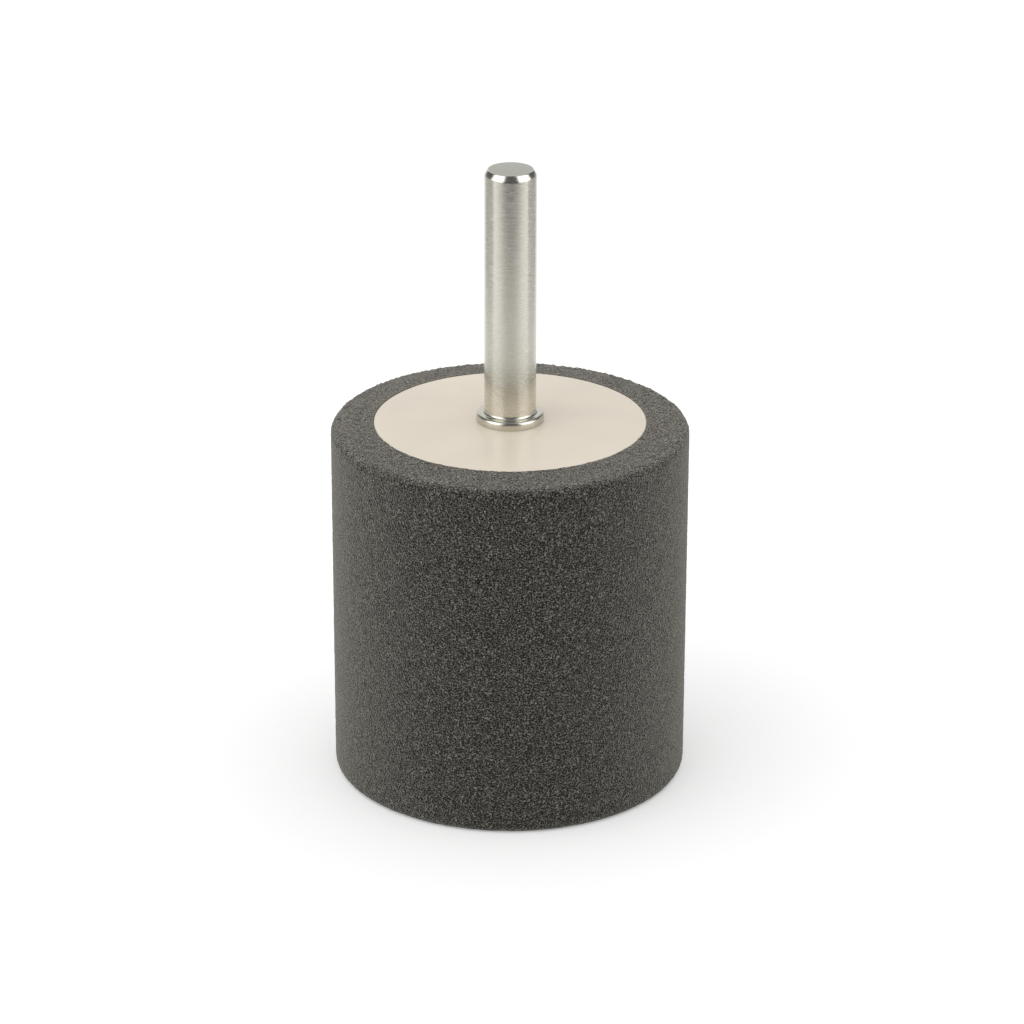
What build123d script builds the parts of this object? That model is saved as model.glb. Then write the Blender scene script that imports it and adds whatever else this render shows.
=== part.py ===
"""
Foam polishing wheel on a quarter inch shank: a tube of open-cell foam bonded
round a cast resin core, with a turned steel spindle cast into the core. It
stands on its end, with the shank up. Millimetres, +Z along the shank, origin
on the axis at the wheel's lower face.
"""

import os
from math import pi, sqrt

from build123d import *

# Foam and core
core_diameter = 33.5
core_stand_out = 0.5
core_face_rise = 0.15
core_edge_chamfer = 0.15
foam_wall = 5.15
foam_length = 45.0
foam_edge_radius = 0.9
bond_gap = 0.1

# Spindle, above the core
shank_diameter = 6.35
shank_length = 31.0
shank_end_step = 0.4
shank_end_length = 0.7
shank_foot_radius = 0.4
collar_overhang = 0.975
collar_height = 1.1
collar_chamfer = 0.35
seat_land = 0.5

# Spindle, inside the core
neck_length = 6.0
anchor_groove_width = 2.5
anchor_groove_depth = 0.6
knurl_length = 16.0
knurl_pitch = 1.25
knurl_depth = 0.4
tail_length = 5.0
tail_chamfer = 0.5
cast_clearance = 0.02

# Places that follow
core_radius = core_diameter / 2
core_rim_z = foam_length + core_stand_out
seat_z = core_rim_z + core_face_rise
foam_bore_radius = core_radius + bond_gap
foam_radius = foam_bore_radius + foam_wall
shank_radius = shank_diameter / 2
collar_radius = shank_radius + collar_overhang
collar_top_z = seat_z + collar_height
shank_end_z = collar_top_z + shank_length
knurl_top_z = seat_z - neck_length - anchor_groove_width
knurl_bottom_z = knurl_top_z - knurl_length
stem_end_z = knurl_bottom_z - anchor_groove_width - tail_length
knurl_teeth = round(pi * shank_diameter / knurl_pitch)


def stem(clearance):
    """The spindle's stem, or with a clearance the hollow that it fills in the core.

    A straight knurl of 90 degree grooves stops the spindle turning in the
    resin, and a turned groove at each end of the knurl stops it pulling out.
    """
    radius = shank_radius + clearance
    end_z = stem_end_z - clearance
    groove_length = anchor_groove_width - 2 * clearance
    tooth_side = 2 * knurl_depth
    tooth_root_radius = radius - knurl_depth + (sqrt(2) - 1) * clearance
    with BuildPart() as bar:
        with BuildSketch(Plane.XY.offset(end_z)):
            Circle(radius)
        extrude(amount=seat_z - end_z)
        chamfer(bar.edges().sort_by(Axis.Z)[0], tail_chamfer)
        for groove_z in (knurl_top_z, knurl_bottom_z - anchor_groove_width):
            with BuildSketch(Plane.XY.offset(groove_z + clearance)):
                Circle(radius)
                Circle(radius - anchor_groove_depth, mode=Mode.SUBTRACT)
            extrude(amount=groove_length, mode=Mode.SUBTRACT)
        with BuildSketch(Plane.XY.offset(knurl_bottom_z - clearance)):
            with PolarLocations(tooth_root_radius + tooth_side / sqrt(2), knurl_teeth):
                Rectangle(tooth_side, tooth_side, rotation=45)
        extrude(amount=knurl_length + 2 * clearance, mode=Mode.SUBTRACT)
    return bar.part


# Spindle: turned from one steel bar, with a collar that seats on the core's face
collar_edge = min(collar_chamfer, collar_height / 2, collar_overhang / 2)
foot_fillet = min(shank_foot_radius, collar_overhang / 2)

with BuildPart() as spindle:
    with BuildSketch(Plane.XZ) as turned_section:
        with BuildLine():
            Polyline(
                (0, seat_z),
                (collar_radius, seat_z),
                (collar_radius, collar_top_z - collar_edge),
                (collar_radius - collar_edge, collar_top_z),
                (shank_radius, collar_top_z),
                (shank_radius, shank_end_z - shank_end_length),
                (shank_radius - shank_end_step, shank_end_z),
                (0, shank_end_z),
                close=True,
            )
        make_face()
        foot_corner = turned_section.vertices().group_by(Axis.Y)[2].sort_by(Axis.X)[0]
        fillet(foot_corner, foot_fillet)
    revolve(axis=Axis.Z)
    add(stem(0))

spindle.part.label = "spindle"


# Core: resin cast round the stem. Its rim is level with the foam round it, and
# its face rises to the collar's seat
seat_radius = collar_radius + seat_land

with BuildPart() as core:
    with BuildSketch(Plane.XZ):
        with BuildLine():
            Polyline(
                (0, 0),
                (core_radius, 0),
                (core_radius, core_rim_z - core_edge_chamfer),
                (core_radius - core_edge_chamfer, core_rim_z),
                (seat_radius, seat_z),
                (0, seat_z),
                close=True,
            )
        make_face()
    revolve(axis=Axis.Z)
    add(stem(cast_clearance), mode=Mode.SUBTRACT)

core.part.label = "core"


# Foam sleeve: a tube of foam, ground outside with both outer edges softened. Its
# upper face rises to the core's rim
foam_edge = min(foam_edge_radius, foam_wall / 2)

with BuildPart() as foam_sleeve:
    with BuildSketch(Plane.XZ) as tube_section:
        with BuildLine():
            Polyline(
                (foam_bore_radius, 0),
                (foam_radius, 0),
                (foam_radius, foam_length),
                (foam_bore_radius, core_rim_z),
                close=True,
            )
        make_face()
        fillet(tube_section.vertices().group_by(Axis.X)[-1], foam_edge)
    revolve(axis=Axis.Z)

foam_sleeve.part.label = "foam_sleeve"


os.makedirs("parts", exist_ok=True)
export_step(spindle.part, "parts/spindle.step")
export_step(core.part, "parts/core.step")
export_step(foam_sleeve.part, "parts/foam_sleeve.step")
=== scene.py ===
from math import atan2, cos, hypot, radians, sin, tau

import bmesh
import bpy
from mathutils import Euler, Matrix, Vector, noise


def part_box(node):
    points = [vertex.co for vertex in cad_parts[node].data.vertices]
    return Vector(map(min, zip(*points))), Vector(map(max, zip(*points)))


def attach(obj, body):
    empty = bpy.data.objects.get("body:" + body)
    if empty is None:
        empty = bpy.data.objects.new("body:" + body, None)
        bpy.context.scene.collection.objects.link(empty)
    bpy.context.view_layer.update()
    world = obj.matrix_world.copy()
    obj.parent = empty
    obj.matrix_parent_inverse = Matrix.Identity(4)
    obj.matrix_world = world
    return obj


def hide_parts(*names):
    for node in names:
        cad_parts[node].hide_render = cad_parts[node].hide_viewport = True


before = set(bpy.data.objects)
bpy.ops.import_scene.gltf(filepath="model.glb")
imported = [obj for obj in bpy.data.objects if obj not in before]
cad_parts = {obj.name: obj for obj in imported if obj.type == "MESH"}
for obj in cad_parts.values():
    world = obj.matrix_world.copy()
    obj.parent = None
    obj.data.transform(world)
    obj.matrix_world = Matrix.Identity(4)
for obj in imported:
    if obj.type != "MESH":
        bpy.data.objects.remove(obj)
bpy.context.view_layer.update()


# Spindle
# One piece of bar steel, turned on a lathe: a bright quarter inch shank with a polished end chamfer and
# foot fillet, and a low collar that sits on the core. Below the collar the same bar goes on as a stem
# with a straight knurl between two turned grooves, which the resin of the core is cast round.

# Lengths are in millimetres, and MM turns them to the scene's metres. Points closer than WELD become
# one, and a point within NEAR of a place counts as there.
MM = 0.001
WELD = 0.001
NEAR = 0.01
SPINDLE_STEPS = 128

spindle_low, spindle_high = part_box("spindle")
collar_radius = spindle_high.x / MM
stem_end = spindle_low.z / MM
shank_end = spindle_high.z / MM
shank_radius = 3.175
shank_length = 31.0
shank_end_step = 0.4
shank_end_length = 0.7
foot_fillet = 0.4
collar_height = 1.1
collar_top = shank_end - shank_length
collar_seat = collar_top - collar_height
tail_length = 5.0
tail_chamfer = 0.5
groove_width = 2.5
groove_depth = 0.6
knurl_length = 16.0
knurl_depth = 0.4
knurl_teeth = 16
knurl_low = stem_end + tail_length + groove_width
knurl_high = knurl_low + knurl_length


def srgb(code):
    """A colour written as an sRGB hex value, turned to linear."""
    parts = [int(code[i:i + 2], 16) / 255 for i in (0, 2, 4)]
    return tuple(p / 12.92 if p <= 0.04045 else ((p + 0.055) / 1.055) ** 2.4 for p in parts) + (1.0,)


def stem_outline(clearance):
    """Half section of the stem from its lower end up to the collar, as (radius, height)."""
    bar = shank_radius + clearance
    waist = bar - groove_depth
    end = stem_end - clearance
    return [
        (0, end),
        (bar - tail_chamfer, end),
        (bar, end + tail_chamfer),
        (bar, knurl_low - groove_width + clearance),
        (waist, knurl_low - groove_width + clearance),
        (waist, knurl_low - clearance),
        (bar, knurl_low - clearance),
        (bar, knurl_high + clearance),
        (waist, knurl_high + clearance),
        (waist, knurl_high + groove_width - clearance),
        (bar, knurl_high + groove_width - clearance),
        (bar, collar_seat),
    ]


def turned(outline, steps):
    """The outline turned once about the Z axis."""
    bm = bmesh.new()
    chain = [bm.verts.new((r * MM, 0, z * MM)) for r, z in outline]
    for low, high in zip(chain, chain[1:]):
        bm.edges.new((low, high))
    bmesh.ops.spin(
        bm,
        geom=bm.verts[:] + bm.edges[:],
        cent=(0, 0, 0),
        axis=(0, 0, 1),
        angle=tau,
        steps=steps,
        use_merge=True,
    )
    bmesh.ops.remove_doubles(bm, verts=bm.verts, dist=WELD * MM)
    return bm


def ring_edges(bm, radius, height):
    """The edges that run round the axis at one radius and height."""
    def on_ring(vert):
        return (
            abs(hypot(vert.co.x, vert.co.y) - radius * MM) < NEAR * MM
            and abs(vert.co.z - height * MM) < NEAR * MM
        )
    return [edge for edge in bm.edges if all(on_ring(vert) for vert in edge.verts)]


def round_ring(bm, radius, height, size, segments):
    """Rounds the edge that runs round the axis at one radius and height."""
    bmesh.ops.bevel(
        bm,
        geom=ring_edges(bm, radius, height),
        offset=size * MM,
        segments=segments,
        profile=0.5,
        affect="EDGES",
        material=-1,
    )


def press_knurl(bm, clearance, steps):
    """Presses the 90 degree grooves of the knurl into the bar between the turned grooves."""
    bar = shank_radius + clearance
    end_margin = 0.1
    columns = steps // knurl_teeth
    for vert in bm.verts:
        radius = hypot(vert.co.x, vert.co.y) / MM
        height = vert.co.z / MM
        on_knurl = knurl_low - end_margin < height < knurl_high + end_margin
        if abs(radius - bar) > NEAR or not on_knurl:
            continue
        column = round(atan2(vert.co.y, vert.co.x) / tau * steps) % columns
        across = min(column, columns - column) * tau * shank_radius / steps
        depth = max(0.0, knurl_depth - across)
        vert.co.xy *= (radius - depth) / radius


def finished(bm, name, sharp_angle=radians(40)):
    """The mesh as an object, smooth shaded, with its faces pointing outwards."""
    bmesh.ops.recalc_face_normals(bm, faces=bm.faces)
    mesh = bpy.data.meshes.new(name)
    for face in bm.faces:
        face.smooth = True
    for edge in bm.edges:
        edge.smooth = edge.is_manifold and edge.calc_face_angle(0.0) < sharp_angle
    bm.to_mesh(mesh)
    bm.free()
    piece = bpy.data.objects.new(name, mesh)
    bpy.context.scene.collection.objects.link(piece)
    return piece


def add(tree, kind, settings=None, **links):
    """Adds a shader node, sets its properties and inputs, and links inputs from other nodes.

    A link named i and a number goes to the input of that number, any other to the input of that name.
    Inputs 1 to 4 of a Map Range are the range that it reads and the range that it gives. Input 0 of a
    Mix is its factor, 2 and 3 are its numbers, and 6 and 7 its colours.
    """
    node = tree.nodes.new(kind)
    for key, value in (settings or {}).items():
        if isinstance(key, int) or key in node.inputs:
            node.inputs[key].default_value = value
        else:
            setattr(node, key, value)
    for key, source in links.items():
        by_number = key[0] == "i" and key[1:].isdigit()
        socket = node.inputs[int(key[1:]) if by_number else key.replace("_", " ")]
        tree.links.new(source, socket)
    return node


def new_material(name):
    """A material without nodes, and its node tree."""
    material = bpy.data.materials.new(name)
    material.use_nodes = True
    material.node_tree.nodes.clear()
    return material, material.node_tree


spindle_outline = stem_outline(0)[:-1] + [
    (shank_radius, collar_seat),
    (collar_radius, collar_seat),
    (collar_radius, collar_top),
    (shank_radius, collar_top),
    (shank_radius, shank_end - shank_end_length),
    (shank_radius - shank_end_step, shank_end),
    (0, shank_end),
]
bm = turned(spindle_outline, SPINDLE_STEPS)
for radius, height, size, segments in (
    (shank_radius, collar_top, foot_fillet, 8),
    (collar_radius, collar_top, 0.45, 6),
    (collar_radius, collar_seat, 0.05, 2),
    (shank_radius, shank_end - shank_end_length, 0.15, 4),
    (shank_radius - shank_end_step, shank_end, 0.1, 4),
):
    round_ring(bm, radius, height, size, segments)
press_knurl(bm, 0, SPINDLE_STEPS)
spindle = finished(bm, "steel_spindle")
flat_faces = spindle.modifiers.new("flat_faces", "WEIGHTED_NORMAL")
flat_faces.keep_sharp = True
flat_faces.weight = 80


def steel(name, tones, roughness, anisotropic, line_depth, streaked):
    """Bright carbon steel, turned: fine tool lines run round it, and spread reflections along it.

    The lines of a real tool are about 0.05 mm apart, too fine to show. They are drawn 0.14 mm apart,
    and wander by up to 0.12 mm over 4 mm. The streaks, 0.12 mm high and 0.9 mm long, are places where
    the tool dragged, and the cloud, 0.9 mm across, is where the bar was handled.
    """
    material, tree = new_material(name)
    place = add(tree, "ShaderNodeTexCoord")
    parts = add(tree, "ShaderNodeSeparateXYZ", i0=place.outputs["Object"])
    flat = add(tree, "ShaderNodeCombineXYZ", i0=parts.outputs[0], i1=parts.outputs[1])
    radius = add(tree, "ShaderNodeVectorMath", {"operation": "LENGTH"}, i0=flat.outputs[0])
    drift = add(
        tree, "ShaderNodeTexNoise", {"Scale": 0.26 / MM, "Detail": 1.0}, Vector=place.outputs["Object"]
    )
    drift_size = add(
        tree, "ShaderNodeMath", {"operation": "MULTIPLY", 1: 0.12 * MM}, i0=drift.outputs["Fac"]
    )
    height = add(
        tree, "ShaderNodeMath", {"operation": "ADD"}, i0=parts.outputs[2], i1=drift_size.outputs[0]
    )
    lines_at = add(tree, "ShaderNodeCombineXYZ", i0=radius.outputs["Value"], i1=height.outputs[0])
    lines = add(
        tree,
        "ShaderNodeTexNoise",
        {"Scale": 7.0 / MM, "Detail": 2.0, "Roughness": 0.6},
        Vector=lines_at.outputs[0],
    )
    stretched = add(
        tree, "ShaderNodeMapping", {"Scale": (0.14, 0.14, 1.0)}, Vector=place.outputs["Object"]
    )
    streaks = add(
        tree,
        "ShaderNodeTexNoise",
        {"Scale": 8.0 / MM, "Detail": 1.0, "Roughness": 0.5},
        Vector=stretched.outputs[0],
    )
    marks = add(
        tree,
        "ShaderNodeMix",
        {"data_type": "FLOAT", 0: streaked},
        i2=lines.outputs["Fac"],
        i3=streaks.outputs["Fac"],
    )
    uneven = add(
        tree,
        "ShaderNodeMapRange",
        {1: 0.35, 2: 0.65, 3: roughness * 0.85, 4: roughness * 1.15},
        i0=marks.outputs[0],
    )
    cloud = add(
        tree, "ShaderNodeTexNoise", {"Scale": 1.1 / MM, "Detail": 4.0}, Vector=place.outputs["Object"]
    )
    stained = add(
        tree,
        "ShaderNodeMix",
        {"data_type": "FLOAT", 0: 0.85},
        i2=cloud.outputs["Fac"],
        i3=marks.outputs[0],
    )
    tone_place = add(
        tree, "ShaderNodeMapRange", {1: 0.38, 2: 0.62, 3: 0.0, 4: 1.0}, i0=stained.outputs[0]
    )
    tone = add(
        tree,
        "ShaderNodeMix",
        {"data_type": "RGBA", 6: srgb(tones[0]), 7: srgb(tones[1])},
        i0=tone_place.outputs[0],
    )
    bump = add(
        tree, "ShaderNodeBump", {"Strength": 1.0, "Distance": line_depth * MM}, Height=marks.outputs[0]
    )
    round_axis = add(tree, "ShaderNodeTangent", {"direction_type": "RADIAL", "axis": "Z"})
    shader = add(
        tree,
        "ShaderNodeBsdfPrincipled",
        {"Metallic": 1.0, "Anisotropic": anisotropic, "Anisotropic Rotation": 0.25},
        Base_Color=tone.outputs[2],
        Roughness=uneven.outputs[0],
        Normal=bump.outputs[0],
        Tangent=round_axis.outputs[0],
    )
    add(tree, "ShaderNodeOutputMaterial", Surface=shader.outputs[0])
    return material


# The turned length shows two long soft highlights, the polished end chamfer hard black and white
# patches, the faced end an even grey, and the buffed collar and foot fillet thin bright rings. The
# line depths are in millimetres.
for name, tones, roughness, anisotropic, line_depth, streaked in (
    ("turned_steel", ("d5d2c6", "e5e2d7"), 0.24, 0.6, 0.0002, 0.8),
    ("polished_steel", ("d7d5cc", "dedcd2"), 0.2, 0.2, 0.0006, 0.0),
    ("faced_steel", ("b5b5ab", "bcbcb3"), 0.34, 0.0, 0.001, 0.3),
    ("buffed_steel", ("d1cfc3", "d9d6cc"), 0.25, 0.3, 0.0006, 0.0),
):
    spindle.data.materials.append(steel(name, tones, roughness, anisotropic, line_depth, streaked))
TURNED, POLISHED, FACED, BUFFED = range(4)
for face in spindle.data.polygons:
    height = face.center.z / MM
    if collar_seat - NEAR < height < collar_top + foot_fillet - NEAR:
        face.material_index = BUFFED
    elif height > shank_end - WELD:
        face.material_index = FACED
    elif height > shank_end - shank_end_length - 0.05:
        face.material_index = POLISHED
    else:
        face.material_index = TURNED
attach(spindle, "root")
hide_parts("spindle")


# Core
# One block of cream polyurethane resin, cast round the spindle's stem. Its face shows as the disc round
# the collar: its rim is level with the foam round it, and the face rises to the collar's seat.

core_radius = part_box("core")[1].x / MM
core_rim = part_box("foam_sleeve")[1].z / MM
seat_radius = 4.65
cast_clearance = 0.02
face_points = 10
face_curve = 1.6
CORE_STEPS = 256

face_outline = []
for i in range(face_points + 1):
    share = i / face_points
    radius = core_radius + (seat_radius - core_radius) * share
    height = core_rim + (collar_seat - core_rim) * (1 - (1 - share) ** face_curve)
    face_outline.append((radius, height))
cavity_outline = list(reversed(stem_outline(cast_clearance)))
bm = turned([(0, 0), (core_radius, 0)] + face_outline + cavity_outline, CORE_STEPS)
round_ring(bm, core_radius, core_rim, 0.16, 4)
round_ring(bm, core_radius, 0, 0.1, 2)
press_knurl(bm, cast_clearance, CORE_STEPS)
core = finished(bm, "resin_core")
flat_faces = core.modifiers.new("flat_faces", "WEIGHTED_NORMAL")
flat_faces.keep_sharp = True

# Cream cast polyurethane, satin from the mould: pale clouds 9 mm across, and a skin of faint dimples
# 0.6 mm across, which blurs what it reflects
cast_resin, tree = new_material("cast_polyurethane_resin")
place = add(tree, "ShaderNodeTexCoord")
cloud = add(
    tree, "ShaderNodeTexNoise", {"Scale": 0.11 / MM, "Detail": 3.0}, Vector=place.outputs["Object"]
)
tone = add(
    tree,
    "ShaderNodeMix",
    {"data_type": "RGBA", 6: srgb("d5cbbb"), 7: srgb("e7dccb")},
    i0=cloud.outputs["Fac"],
)
skin = add(
    tree, "ShaderNodeTexNoise", {"Scale": 1.8 / MM, "Detail": 3.0}, Vector=place.outputs["Object"]
)
satin = add(tree, "ShaderNodeMapRange", {1: 0.3, 2: 0.7, 3: 0.30, 4: 0.38}, i0=cloud.outputs["Fac"])
bump = add(
    tree, "ShaderNodeBump", {"Strength": 0.6, "Distance": 0.004 * MM}, Height=skin.outputs["Fac"]
)
shader = add(
    tree,
    "ShaderNodeBsdfPrincipled",
    {"IOR": 1.48},
    Base_Color=tone.outputs[2],
    Roughness=satin.outputs[0],
    Normal=bump.outputs[0],
)
add(tree, "ShaderNodeOutputMaterial", Surface=shader.outputs[0])
core.data.materials.append(cast_resin)
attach(core, "root")
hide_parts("core")


# Foam sleeve
# A tube of dark grey open-cell polyurethane foam, bored, glued round the core and ground round, which
# leaves its cells cut open and its edges soft. Its upper face rises to the core's rim.

foam_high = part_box("foam_sleeve")[1]
rim_rise = 0.5
bond_gap = 0.1
foam_radius = foam_high.x / MM
foam_height = foam_high.z / MM - rim_rise
foam_bore = core_radius + bond_gap
foam_edge = 0.9
foam_step = 0.3
bore_step = 4.0
FOAM_STEPS = 480
FOAM_SECTORS = 16

bm = bmesh.new()
corners = [(foam_bore, core_rim), (foam_bore, 0), (foam_radius, 0), (foam_radius, foam_height)]
section = [bm.verts.new((r * MM, 0, z * MM)) for r, z in corners]
for low, high in zip(section, section[1:] + section[:1]):
    bm.edges.new((low, high))
bmesh.ops.bevel(
    bm,
    geom=section[2:],
    offset=foam_edge * MM,
    segments=6,
    profile=0.5,
    affect="VERTICES",
    material=-1,
)
for edge in list(bm.edges):
    in_bore = all(abs(vert.co.x - foam_bore * MM) < 1e-7 for vert in edge.verts)
    cuts = round(edge.calc_length() / MM / (bore_step if in_bore else foam_step)) - 1
    if cuts > 0:
        bmesh.ops.subdivide_edges(bm, edges=[edge], cuts=cuts)
bmesh.ops.spin(
    bm,
    geom=bm.verts[:] + bm.edges[:],
    cent=(0, 0, 0),
    axis=(0, 0, 1),
    angle=tau / FOAM_SECTORS,
    steps=FOAM_STEPS // FOAM_SECTORS,
)
for share in (16, 8, 4, 2):
    copied = bmesh.ops.duplicate(bm, geom=bm.verts[:] + bm.edges[:] + bm.faces[:])["geom"]
    copied_verts = [part for part in copied if isinstance(part, bmesh.types.BMVert)]
    turn = Matrix.Rotation(tau / share, 3, "Z")
    bmesh.ops.rotate(bm, cent=(0, 0, 0), matrix=turn, verts=copied_verts)
bmesh.ops.remove_doubles(bm, verts=bm.verts, dist=WELD * MM)
bmesh.ops.recalc_face_normals(bm, faces=bm.faces)
bm.normal_update()

# Ground foam is lumpy over 1.1 mm and torn over 0.33 mm, more deeply towards the upper edge. At the
# disc the knife leaves a ragged lip, which covers the bond.
lump_size = 1.1
lump_depth = 0.03
tear_size = 0.33
tear_depth = 0.045
tear_shift = Vector((7.3, 1.9, 4.1))
frayed_height = 1.2
frayed_depth = 0.15
ground_off = 0.02
lip_reach = 0.09
lip_tear = 0.14
lip_rise = 0.03
lip_lump = 0.05
moves = []
for vert in bm.verts:
    at = vert.co / MM
    lump = noise.noise(at / lump_size)
    cell = noise.noise(at / tear_size + tear_shift)
    frayed = min(max((at.z - foam_height + frayed_height) / frayed_height, 0.0), 1.0)
    if hypot(at.x, at.y) > foam_bore + NEAR:
        torn_out = (tear_depth + frayed_depth * frayed) * cell
        moves.append(vert.normal * (lump_depth * lump + torn_out - ground_off) * MM)
    elif at.z > core_rim - NEAR:
        inward = Vector((-at.x, -at.y, 0)).normalized()
        rise = Vector((0, 0, lip_rise + lip_lump * lump))
        moves.append((inward * (lip_reach + lip_tear * cell) + rise) * MM)
    else:
        moves.append(Vector())
for vert, move in zip(list(bm.verts), moves):
    vert.co += move
    vert.co.z = max(vert.co.z, 0.0)
foam = finished(bm, "foam_sleeve_ground", radians(80))

# Dark grey open-cell polyurethane, ground: pale torn cell walls round hollows painted near black, which
# is painted shade for the depth of the open cells. Together they give a fine salt and pepper grain. A
# felt of broken walls pales where it is seen from the side. The cells are 0.28 mm across, bent by 0.2 mm
# over 0.4 mm, and their walls are torn over 0.22 mm.
open_cell_foam, tree = new_material("open_cell_polyurethane_foam")
place = add(tree, "ShaderNodeTexCoord")
wander = add(
    tree, "ShaderNodeTexNoise", {"Scale": 2.5 / MM, "Detail": 1.0}, Vector=place.outputs["Object"]
)
wander_size = add(
    tree, "ShaderNodeVectorMath", {"operation": "SCALE", "Scale": 0.2 * MM}, i0=wander.outputs["Color"]
)
warped = add(
    tree,
    "ShaderNodeVectorMath",
    {"operation": "ADD"},
    i0=place.outputs["Object"],
    i1=wander_size.outputs[0],
)
cells = add(
    tree,
    "ShaderNodeTexVoronoi",
    {"feature": "DISTANCE_TO_EDGE", "Scale": 3.6 / MM, "Randomness": 1.0},
    Vector=warped.outputs[0],
)
struts = add(
    tree, "ShaderNodeMapRange", {1: 0.0, 2: 0.2, 3: 1.0, 4: 0.0}, i0=cells.outputs["Distance"]
)
torn = add(
    tree,
    "ShaderNodeTexNoise",
    {"Scale": 4.6 / MM, "Detail": 1.0, "Roughness": 0.5},
    Vector=place.outputs["Object"],
)
torn_size = add(tree, "ShaderNodeMapRange", {1: 0.3, 2: 0.7, 3: -0.58, 4: 0.58}, i0=torn.outputs["Fac"])
raised = add(
    tree, "ShaderNodeMath", {"operation": "ADD"}, i0=struts.outputs[0], i1=torn_size.outputs[0]
)
ramp = add(tree, "ShaderNodeMapRange", {1: -0.1, 2: 1.5, 3: 0.0, 4: 1.0}, i0=raised.outputs[0])
pale_tips = add(tree, "ShaderNodeMath", {"operation": "POWER", 1: 2.1}, i0=ramp.outputs[0])
parts = add(tree, "ShaderNodeSeparateXYZ", i0=place.outputs["Object"])

# The upper face and the top 0.6 mm of the side are painted paler, in walls and hollows both: a painted
# sheen for the upward face, which is seen edge on
rim_height = 0.6
painted_sheen_top = add(
    tree,
    "ShaderNodeMapRange",
    {1: (foam_height - rim_height) * MM, 2: foam_height * MM, 3: 0.0, 4: 1.0},
    i0=parts.outputs[2],
)
# The walls' own pale tone, painted paler on the upper face as painted sheen
tip_tone_and_top_sheen = add(
    tree,
    "ShaderNodeMix",
    {"data_type": "RGBA", 6: srgb("96948a"), 7: srgb("b1ada2")},
    i0=painted_sheen_top.outputs[0],
)
# The hollows are painted near black, painted shade for the depth of the open cells, and painted less dark
# on the upper face as part of its painted sheen
painted_hollow_shade = add(
    tree,
    "ShaderNodeMix",
    {"data_type": "RGBA", 6: srgb("020202"), 7: srgb("282826")},
    i0=painted_sheen_top.outputs[0],
)
tone = add(
    tree,
    "ShaderNodeMix",
    {"data_type": "RGBA"},
    i0=pale_tips.outputs[0],
    i6=painted_hollow_shade.outputs[2],
    i7=tip_tone_and_top_sheen.outputs[2],
)
bump = add(
    tree, "ShaderNodeBump", {"Strength": 1.0, "Distance": 0.08 * MM}, Height=ramp.outputs[0]
)
shader = add(
    tree,
    "ShaderNodeBsdfPrincipled",
    {
        "Roughness": 0.9,
        "Specular IOR Level": 0.3,
        "Sheen Weight": 0.86,
        "Sheen Roughness": 0.38,
        "Sheen Tint": srgb("c9c5b9"),
    },
    Base_Color=tone.outputs[2],
    Normal=bump.outputs[0],
)
add(tree, "ShaderNodeOutputMaterial", Surface=shader.outputs[0])
foam.data.materials.append(open_cell_foam)
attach(foam, "root")
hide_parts("foam_sleeve")


# Studio
# A white floor that runs into a white backdrop, a strong softbox to the left of the camera and a weak
# one to the right. The steel reflects a room of its own: white walls to each side, dark ones behind the
# camera and at the back, a floor that is dark in front, and a grey card to each side.

bm = bmesh.new()
bmesh.ops.create_grid(bm, x_segments=1, y_segments=1, size=4.0)
floor = finished(bm, "studio_floor")

# Matt white paper, with a glow that keeps it white to the camera and lifts it less in reflections. In
# reflections it turns dark from 165 mm in front of the wheel's axis, as if the paper ended there.
paper, tree = new_material("white_paper_sweep")
light_path = add(tree, "ShaderNodeLightPath")
place = add(tree, "ShaderNodeTexCoord")
parts = add(tree, "ShaderNodeSeparateXYZ", i0=place.outputs["Object"])
in_front = add(
    tree, "ShaderNodeMapRange", {1: -165 * MM, 2: -205 * MM, 3: 0.0, 4: 1.0}, i0=parts.outputs[1]
)
dark_room = add(
    tree,
    "ShaderNodeMath",
    {"operation": "MULTIPLY"},
    i0=light_path.outputs["Is Glossy Ray"],
    i1=in_front.outputs[0],
)
mirrored = add(
    tree, "ShaderNodeMath", {"operation": "MULTIPLY", 1: 0.35}, i0=light_path.outputs["Is Glossy Ray"]
)
seen = add(
    tree,
    "ShaderNodeMath",
    {"operation": "MAXIMUM"},
    i0=light_path.outputs["Is Camera Ray"],
    i1=mirrored.outputs[0],
)
level = add(tree, "ShaderNodeMath", {"operation": "MULTIPLY", 1: 0.24}, i0=seen.outputs[0])
matt = add(tree, "ShaderNodeBsdfDiffuse", {"Color": (0.85, 0.85, 0.85, 1)})
glow = add(tree, "ShaderNodeEmission", {"Color": (1, 1, 1, 1)}, Strength=level.outputs[0])
lit = add(tree, "ShaderNodeAddShader", i0=matt.outputs[0], i1=glow.outputs[0])
dark = add(tree, "ShaderNodeEmission", {"Color": (0.088, 0.088, 0.088, 1), "Strength": 1.0})
both = add(
    tree, "ShaderNodeMixShader", i0=dark_room.outputs[0], i1=lit.outputs[0], i2=dark.outputs[0]
)
add(tree, "ShaderNodeOutputMaterial", Surface=both.outputs[0])
floor.data.materials.append(paper)

# The softboxes are 2.4 m square, 2.1 m away and 45 degrees up
for name, azimuth, watts in (("softbox_left", -60, 10.3), ("softbox_right", 60, 2.2)):
    lamp = bpy.data.lights.new(name, "AREA")
    lamp.shape = "RECTANGLE"
    lamp.size = 2.4
    lamp.size_y = 2.4
    lamp.energy = watts
    softbox = bpy.data.objects.new(name, lamp)
    across, up = radians(azimuth), radians(45)
    direction = Vector((sin(across) * cos(up), -cos(across) * cos(up), sin(up)))
    softbox.location = direction * 2.1
    softbox.rotation_euler = direction.to_track_quat("Z", "Y").to_euler()
    softbox.visible_camera = False
    softbox.visible_glossy = False
    bpy.context.scene.collection.objects.link(softbox)

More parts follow.
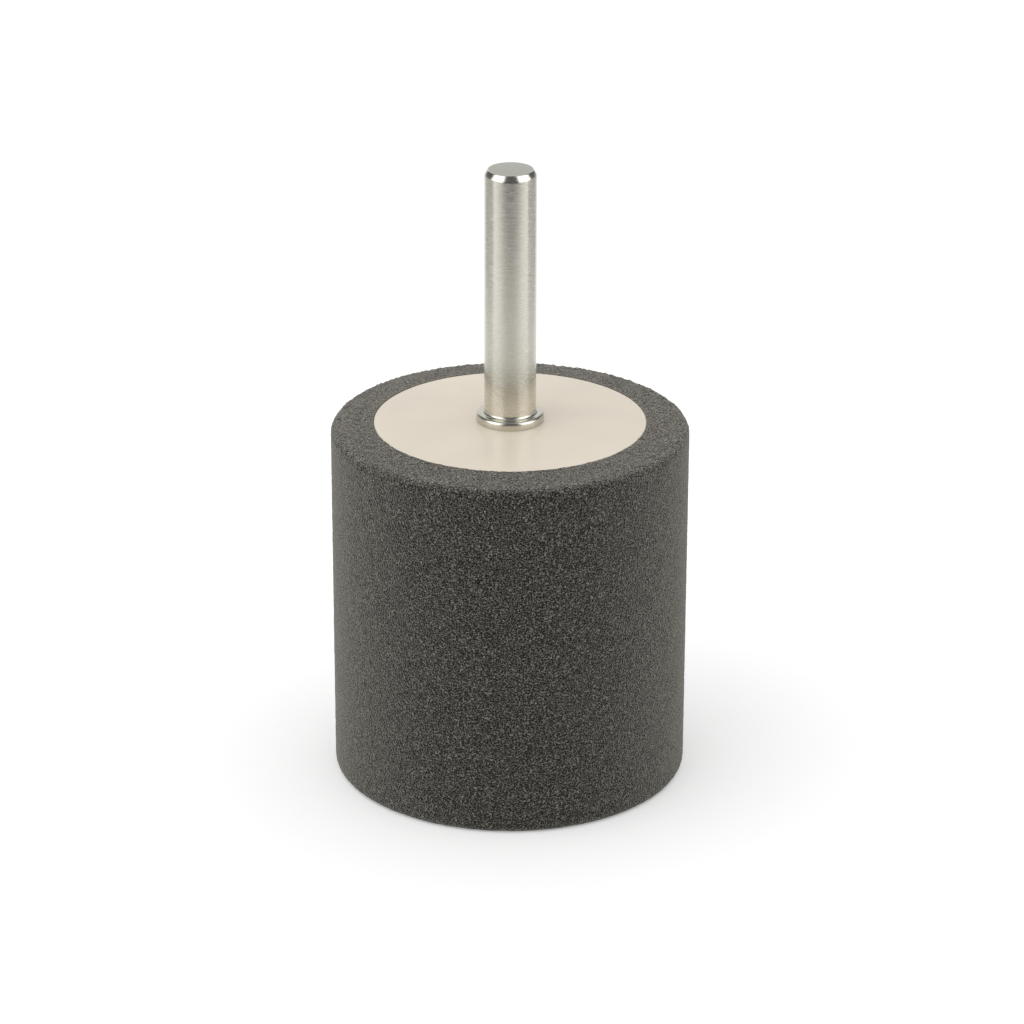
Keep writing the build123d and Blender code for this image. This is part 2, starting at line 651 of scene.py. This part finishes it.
# The grey cards are 184 mm wide and 96 mm high, 160 mm from the axis. They show only in reflections,
# where they grey the outer edges of the shank
flag_grey, tree = new_material("grey_flag_card")
card = add(tree, "ShaderNodeEmission", {"Color": (0.49, 0.49, 0.49, 1), "Strength": 1.0})
add(tree, "ShaderNodeOutputMaterial", Surface=card.outputs[0])
for name, azimuth in (("flag_left", -109), ("flag_right", 111)):
    upright = Matrix.Rotation(radians(90), 3, "X")
    turn = Matrix.Rotation(radians(azimuth), 3, "Z")
    bm = bmesh.new()
    bmesh.ops.create_grid(bm, x_segments=1, y_segments=1, size=80 * MM)
    bmesh.ops.scale(bm, vec=(1.15, 0.6, 1), verts=bm.verts)
    bmesh.ops.rotate(bm, cent=(0, 0, 0), matrix=upright, verts=bm.verts)
    bmesh.ops.translate(bm, vec=(0, -160 * MM, 48 * MM), verts=bm.verts)
    bmesh.ops.rotate(bm, cent=(0, 0, 0), matrix=turn, verts=bm.verts)
    flag = finished(bm, name)
    flag.data.materials.append(flag_grey)
    flag.visible_camera = False
    flag.visible_diffuse = False
    flag.visible_shadow = False

# Reflections see the room's walls by direction, from the camera's side at 0 to the far side at 1,
# turned by 3 degrees, under a dim ceiling. The camera sees plain white. The rest is lit by a dome that
# is a little brighter behind the wheel.
world = bpy.data.worlds.new("studio")
world.use_nodes = True
tree = world.node_tree
tree.nodes.clear()
light_path = add(tree, "ShaderNodeLightPath")
place = add(tree, "ShaderNodeTexCoord")
parts = add(tree, "ShaderNodeSeparateXYZ", i0=place.outputs["Generated"])
flat = add(tree, "ShaderNodeCombineXYZ", i0=parts.outputs[0], i1=parts.outputs[1])
level_way = add(tree, "ShaderNodeVectorMath", {"operation": "NORMALIZE"}, i0=flat.outputs[0])
turned_way = add(
    tree,
    "ShaderNodeVectorRotate",
    {"rotation_type": "Z_AXIS", "Angle": radians(-3)},
    Vector=level_way.outputs[0],
)
away = add(tree, "ShaderNodeSeparateXYZ", i0=turned_way.outputs[0])
depth = add(tree, "ShaderNodeMapRange", {1: -1.0, 2: 1.0, 3: 0.0, 4: 1.0}, i0=away.outputs[1])
room = add(tree, "ShaderNodeValToRGB", i0=depth.outputs[0])
room.color_ramp.elements[0].color = (0.06, 0.06, 0.06, 1)
room.color_ramp.elements[1].color = (0.45, 0.45, 0.45, 1)
for position, value in ((0.07, 0.06), (0.11, 1.0), (0.53, 1.0), (0.58, 0.06), (0.91, 0.06), (0.95, 0.45)):
    element = room.color_ramp.elements.new(position)
    element.color = (value, value, value, 1)
overhead = add(tree, "ShaderNodeMapRange", {1: 0.82, 2: 0.95, 3: 0.0, 4: 1.0}, i0=parts.outputs[2])
studio = add(
    tree,
    "ShaderNodeMix",
    {"data_type": "RGBA", 7: (0.15, 0.15, 0.15, 1)},
    i0=overhead.outputs[0],
    i6=room.outputs["Color"],
)
reflected = add(tree, "ShaderNodeBackground", {"Strength": 1.86}, Color=studio.outputs[2])
sky = add(tree, "ShaderNodeMapRange", {1: -1.0, 2: 1.0, 3: 0.77, 4: 1.03}, i0=parts.outputs[1])
dome = add(tree, "ShaderNodeBackground", {"Color": (1, 1, 1, 1)}, Strength=sky.outputs[0])
backdrop = add(tree, "ShaderNodeBackground", {"Color": (1, 1, 1, 1), "Strength": 1.0})
indirect = add(
    tree,
    "ShaderNodeMixShader",
    i0=light_path.outputs["Is Glossy Ray"],
    i1=dome.outputs[0],
    i2=reflected.outputs[0],
)
chosen = add(
    tree,
    "ShaderNodeMixShader",
    i0=light_path.outputs["Is Camera Ray"],
    i1=indirect.outputs[0],
    i2=backdrop.outputs[0],
)
add(tree, "ShaderNodeOutputWorld", Surface=chosen.outputs[0])
bpy.context.scene.world = world
bpy.context.scene.view_settings.view_transform = "Standard"


# Camera
# A long lens, half a metre away and 23 degrees above the wheel, at the photograph's place and angle.

lens = bpy.data.cameras.new("camera")
lens.sensor_width = 36.0
lens.lens = 139.82
camera = bpy.data.objects.new("camera", lens)
aim = Euler((radians(90 - 22.691), 0, radians(-0.0324))).to_matrix().to_4x4()
roll = Matrix.Rotation(radians(0.14), 4, "Z")
camera.matrix_world = Matrix.Translation((0, -0.454234, 0.223245)) @ aim @ roll
bpy.context.scene.collection.objects.link(camera)
bpy.context.scene.camera = camera
